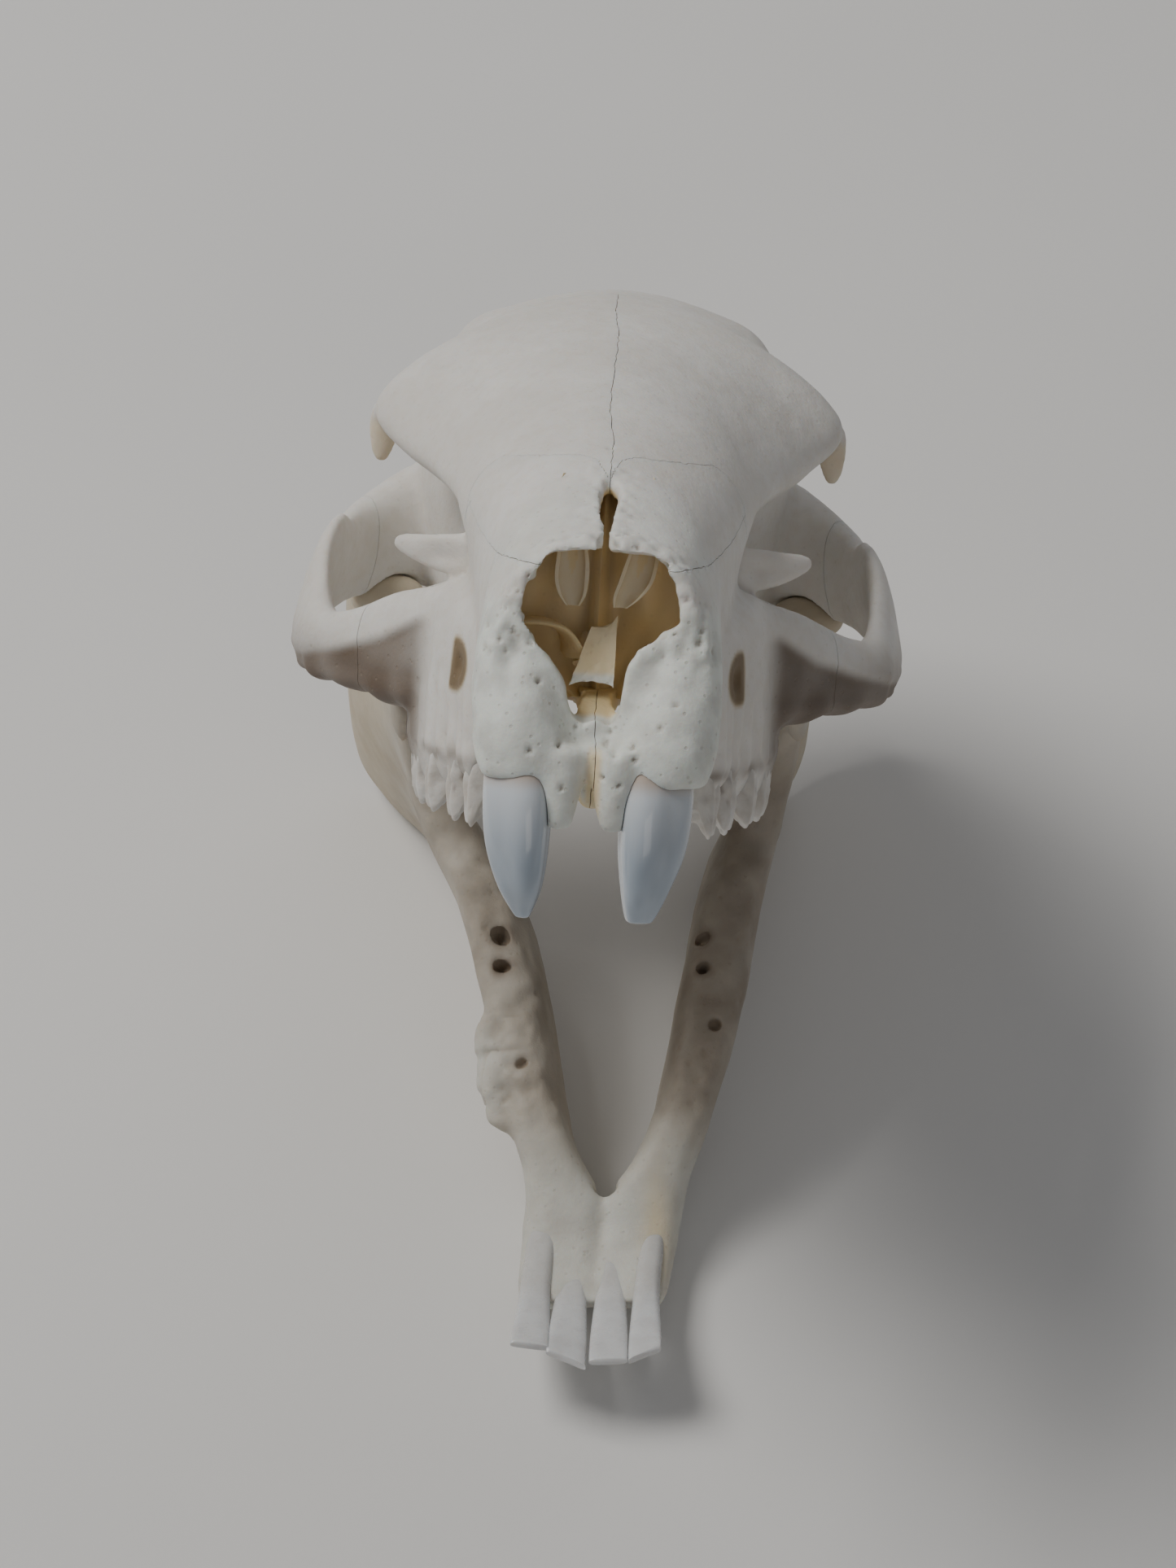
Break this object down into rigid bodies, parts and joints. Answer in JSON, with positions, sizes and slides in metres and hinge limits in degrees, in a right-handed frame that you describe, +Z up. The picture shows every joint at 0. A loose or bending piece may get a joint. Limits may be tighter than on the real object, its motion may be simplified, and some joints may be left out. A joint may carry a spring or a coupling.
{
  "type": "hyrax skull",
  "caption": "Life-size skull of an adult rock hyrax with the jaws wide open, lying on its lower jaw, with long upper tusks and a deep rounded jaw.",
  "frame": {"origin": "centre of the bounding box, on the floor that the lower jaw lies on", "axes": "+Z up, -Y the way the skull faces, +X to the animal's left, which is the picture's right"},
  "size_m": [0.0524, 0.0892, 0.0897],
  "materials": {
    "bone": "matt, dry bone",
    "tusk_enamel": "glossy bluish enamel",
    "tooth_enamel": "satin enamel"
  },
  "bodies": {
    "root": {"braincase": "bone", "occipital": "bone", "frontal_left": "bone", "frontal_right": "bone", "nasal_left": "bone", "nasal_right": "bone", "premaxilla_left": "bone", "premaxilla_right": "bone", "maxilla_left": "bone", "maxilla_right": "bone", "zygomatic_arch_left": "bone", "zygomatic_arch_right": "bone", "vomer": "bone", "turbinate_left": "bone", "turbinate_right": "bone", "tusk_left": "tusk_enamel", "tusk_right": "tusk_enamel", "mandible": "bone", "lower_incisor_outer_left": "tooth_enamel", "lower_incisor_outer_right": "tooth_enamel", "lower_incisor_inner_left": "tooth_enamel", "lower_incisor_inner_right": "tooth_enamel"}
  },
  "joints": []
}
